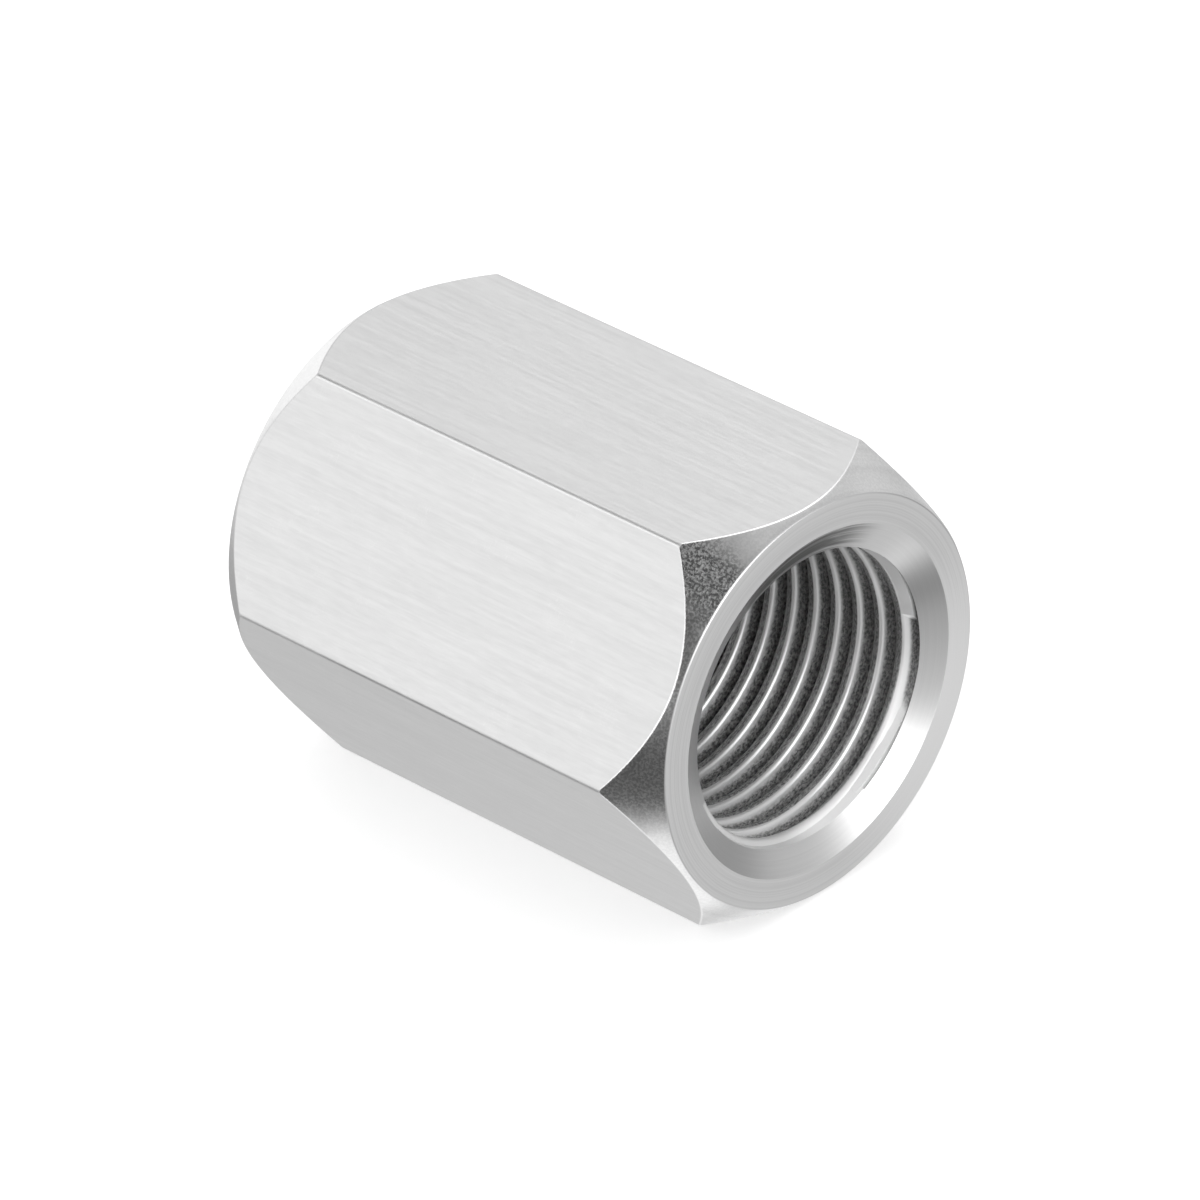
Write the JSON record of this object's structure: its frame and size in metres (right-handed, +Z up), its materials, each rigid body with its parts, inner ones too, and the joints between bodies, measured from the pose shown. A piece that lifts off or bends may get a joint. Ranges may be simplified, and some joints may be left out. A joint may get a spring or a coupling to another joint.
{
  "type": "coupling nut",
  "caption": "Long hexagonal coupling nut with a pipe thread right through it, turned end chamfers and a countersunk mouth at each end; joins two male threads.",
  "frame": {"origin": "middle of the lowest flat, midway between the two end faces", "axes": "+X along the bore, +Y across two opposite corners, +Z up, square to the flat that the nut lies on"},
  "size_m": [0.037, 0.031, 0.027],
  "materials": {
    "steel": "bright machined steel: drawn flats with fine lines along the bar, turned ends and countersinks"
  },
  "bodies": {
    "root": {"coupling_nut": "steel"}
  },
  "joints": []
}
